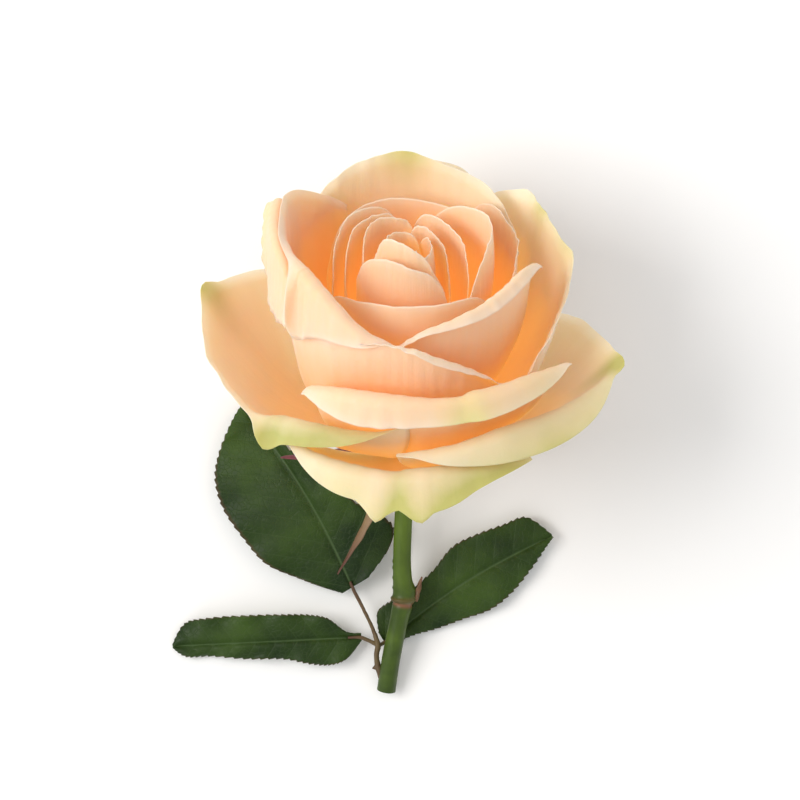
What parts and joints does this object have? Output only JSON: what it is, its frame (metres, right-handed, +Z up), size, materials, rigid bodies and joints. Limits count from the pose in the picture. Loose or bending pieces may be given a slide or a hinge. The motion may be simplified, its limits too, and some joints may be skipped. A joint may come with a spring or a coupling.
{
  "type": "cut rose",
  "caption": "Cut rose lying on its back: half-open peach bloom with curled outer petals, short green stem and one compound leaf.",
  "frame": {"origin": "centre of the bounding box's underside, on the surface that the rose lies on", "axes": "+Y from the cut end of the stem towards the bloom, +Z up from the surface, +X to the right as seen from above with the bloom away"},
  "size_m": [0.1129, 0.1368, 0.0916],
  "materials": {
    "petal": "soft satin, peach-orange inside paling to cream at the rim",
    "outer_petal": "soft satin, cream with yellow-green margins",
    "stem": "smooth waxy green",
    "leaf_stalk": "smooth reddish-green",
    "leaf": "dark green, waxy, lightly quilted between the veins",
    "sepal": "matte, purple-brown and partly dried"
  },
  "bodies": {
    "root": {"petal_01": "petal", "petal_02": "petal", "petal_03": "petal", "petal_04": "petal", "petal_05": "petal", "petal_06": "petal", "petal_07": "petal", "petal_08": "petal", "petal_09": "petal", "petal_10": "petal", "petal_11": "petal", "petal_12": "petal", "petal_13": "petal", "petal_14": "petal", "petal_15": "petal", "petal_16": "petal", "petal_17": "petal", "petal_18": "petal", "petal_19": "petal", "petal_20": "petal", "petal_21": "petal", "petal_22": "petal", "petal_23": "outer_petal", "petal_24": "outer_petal", "petal_25": "outer_petal", "petal_26": "outer_petal", "petal_27": "outer_petal", "petal_28": "outer_petal", "petal_29": "outer_petal", "hip": "stem", "sepal_1": "sepal", "sepal_2": "sepal", "sepal_3": "sepal", "sepal_4": "sepal", "sepal_5": "sepal", "stem": "stem", "axil_bud": "stem", "leaf_stalk": "leaf_stalk", "leaflet_tip": "leaf", "leaflet_left": "leaf", "leaflet_right": "leaf"}
  },
  "joints": []
}
